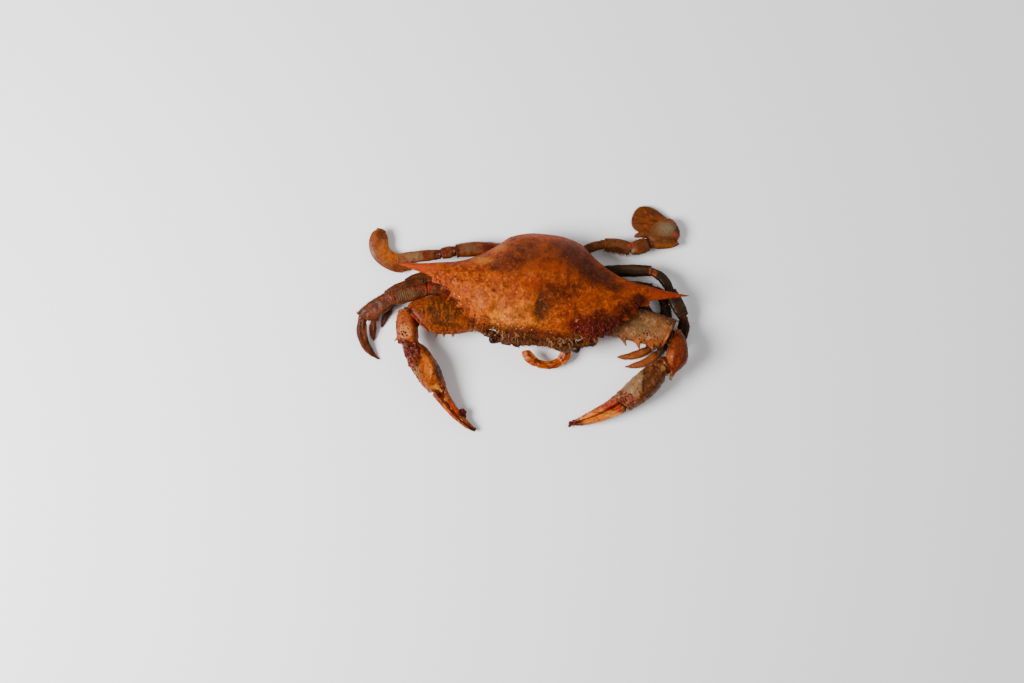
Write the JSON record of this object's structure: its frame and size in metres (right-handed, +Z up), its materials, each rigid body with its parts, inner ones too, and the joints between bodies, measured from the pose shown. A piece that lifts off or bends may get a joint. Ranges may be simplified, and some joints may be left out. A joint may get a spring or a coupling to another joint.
{
  "type": "cooked crab",
  "caption": "Whole cooked crab lying on its belly, with a wide spined shell, slender curved claws, walking legs and paddle-shaped rear legs.",
  "frame": {"origin": "on the table under the middle of the body, halfway between the tips of the shell's two side spines", "axes": "+X to the crab's side spine on the right as seen from above with the claws nearest, -Y to the claws and eyes, +Y to the rear paddles, +Z up"},
  "size_m": [0.1896, 0.1416, 0.0401],
  "materials": {
    "shell": "cooked shell, orange, finely grained, wet in places",
    "belly": "cooked shell, pale, satin",
    "claw": "cooked shell, mottled orange and olive, half gloss",
    "claw_finger": "cooked shell, red-orange, half gloss",
    "leg": "cooked shell, dark brown, half gloss",
    "swim_leg": "cooked shell, amber brown, half gloss",
    "mouth": "cooked shell, orange, satin",
    "eye": "dark, glossy"
  },
  "bodies": {
    "root": {"belly": "belly", "carapace": "shell", "left_claw_carpus": "claw", "left_claw_finger": "claw_finger", "left_claw_ischium": "claw", "left_claw_merus": "claw", "left_claw_palm": "claw", "left_eye": "eye", "left_front_leg_carpus": "leg", "left_front_leg_dactyl": "leg", "left_front_leg_merus": "leg", "left_front_leg_propodus": "leg", "left_middle_leg_carpus": "leg", "left_middle_leg_dactyl": "leg", "left_middle_leg_merus": "leg", "left_middle_leg_propodus": "leg", "left_mouth_plate": "belly", "left_rear_leg_carpus": "leg", "left_rear_leg_dactyl": "leg", "left_rear_leg_merus": "leg", "left_rear_leg_propodus": "leg", "left_swim_leg_carpus": "swim_leg", "left_swim_leg_dactyl": "swim_leg", "left_swim_leg_merus": "swim_leg", "left_swim_leg_propodus": "swim_leg", "mouth_leg_palp": "mouth", "mouth_leg_root": "mouth", "right_claw_carpus": "claw", "right_claw_finger": "claw_finger", "right_claw_ischium": "claw", "right_claw_merus": "claw", "right_claw_palm": "claw", "right_eye": "eye", "right_front_leg_carpus": "leg", "right_front_leg_dactyl": "leg", "right_front_leg_merus": "leg", "right_front_leg_propodus": "leg", "right_middle_leg_carpus": "leg", "right_middle_leg_dactyl": "leg", "right_middle_leg_merus": "leg", "right_middle_leg_propodus": "leg", "right_mouth_plate": "belly", "right_rear_leg_carpus": "leg", "right_rear_leg_dactyl": "leg", "right_rear_leg_merus": "leg", "right_rear_leg_propodus": "leg", "right_swim_leg_carpus": "swim_leg", "right_swim_leg_dactyl": "swim_leg", "right_swim_leg_ischium": "swim_leg", "right_swim_leg_merus": "swim_leg", "right_swim_leg_propodus": "swim_leg", "tail_flap": "belly"}
  },
  "joints": []
}
